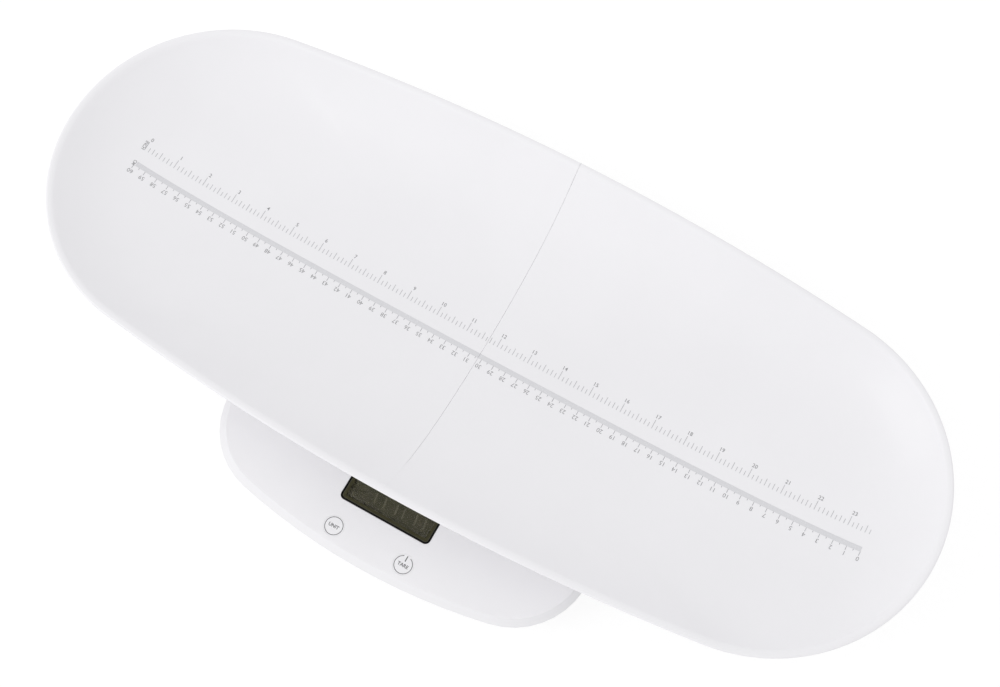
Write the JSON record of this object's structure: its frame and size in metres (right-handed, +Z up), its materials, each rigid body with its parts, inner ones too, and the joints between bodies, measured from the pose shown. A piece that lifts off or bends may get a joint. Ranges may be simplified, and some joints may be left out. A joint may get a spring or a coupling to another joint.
{
  "type": "digital baby weighing scale",
  "caption": "Long dished two-piece baby tray with a printed length ruler, plugged onto a flat electronic base with a display, two push keys and load-cell feet.",
  "frame": {"origin": "middle of the whole outline, on the surface the feet stand on", "axes": "+X along the tray, +Z up, -Y towards the display and the keys"},
  "size_m": [0.6936, 0.327, 0.0889],
  "materials": {
    "tray_shell": "smooth white moulded plastic, softly glossy",
    "tray_bracket": "fine-textured white moulded plastic",
    "base_top": "smooth white moulded plastic, softly glossy",
    "base_bottom": "fine-textured white moulded plastic",
    "key_cap": "smooth white moulded plastic with a grey printed ring",
    "window": "smoked clear plastic with a black printed border",
    "lcd": "dark olive liquid crystal panel",
    "diffuser": "milky diffuser",
    "inner_plastic": "unpolished white moulded plastic",
    "circuit_board": "green solder mask",
    "board_parts": "cream and black moulded parts",
    "switch_body": "black moulded plastic",
    "steel": "zinc-plated steel",
    "spring_steel": "nickel-plated spring steel",
    "foot_plastic": "fine-textured white moulded plastic",
    "foot_rubber": "grey non-slip rubber",
    "wire_red": "red insulation",
    "wire_black": "black insulation",
    "battery_sleeve": "printed foil sleeve over a steel can"
  },
  "bodies": {
    "base": {"base_top_cover": "base_top", "base_bottom_cover": "base_bottom", "cover_screws": "steel", "display_window": "window", "lcd_glass": "lcd", "lcd_backlight": "diffuser", "lcd_frame": "inner_plastic", "main_board": "circuit_board", "board_components": "board_parts", "board_screws": "steel", "key_switches": "switch_body", "foot_front_left": "foot_plastic", "foot_front_right": "foot_plastic", "foot_rear_left": "foot_plastic", "foot_rear_right": "foot_plastic", "foot_pad_front_left": "foot_rubber", "foot_pad_front_right": "foot_rubber", "foot_pad_rear_left": "foot_rubber", "foot_pad_rear_right": "foot_rubber", "load_cell_front_left": "steel", "load_cell_front_right": "steel", "load_cell_rear_left": "steel", "load_cell_rear_right": "steel", "load_cell_holder_front_left": "inner_plastic", "load_cell_holder_front_right": "inner_plastic", "load_cell_holder_rear_left": "inner_plastic", "load_cell_holder_rear_right": "inner_plastic", "holder_screws": "steel", "load_cell_wire_front_left": "wire_red", "load_cell_wire_front_right": "wire_red", "load_cell_wire_rear_left": "wire_red", "load_cell_wire_rear_right": "wire_red", "battery_wires": "wire_black", "battery_cell_1": "battery_sleeve", "battery_cell_2": "battery_sleeve", "battery_cell_3": "battery_sleeve", "battery_contacts": "spring_steel", "battery_springs": "spring_steel"},
    "tray": {"tray_left": "tray_shell", "tray_right": "tray_shell", "tray_bracket": "tray_bracket", "tray_bracket_screws": "steel"},
    "unit_key": {"unit_key": "key_cap", "unit_switch_plunger": "switch_body"},
    "tare_key": {"tare_key": "key_cap", "tare_switch_plunger": "switch_body"},
    "battery_door": {"battery_door": "base_bottom"}
  },
  "joints": [
    {"name": "tray_lift", "type": "slide", "parent": "base", "child": "tray", "axis": [0, 0, 1], "range_m": [0, 0.06]},
    {"name": "unit_key_press", "type": "slide", "parent": "base", "child": "unit_key", "axis": [0, 0, -1], "range_m": [0, 0.0004], "stiffness_N_per_m": 2000, "springref_m": -0.0004},
    {"name": "tare_key_press", "type": "slide", "parent": "base", "child": "tare_key", "axis": [0, 0, -1], "range_m": [0, 0.0004], "stiffness_N_per_m": 2000, "springref_m": -0.0004},
    {"name": "battery_door_tilt", "type": "hinge", "parent": "base", "child": "battery_door", "pos_m": [0, 0.05215, 0.0044], "axis": [1, 0, 0], "range_deg": [0, 75]}
  ]
}
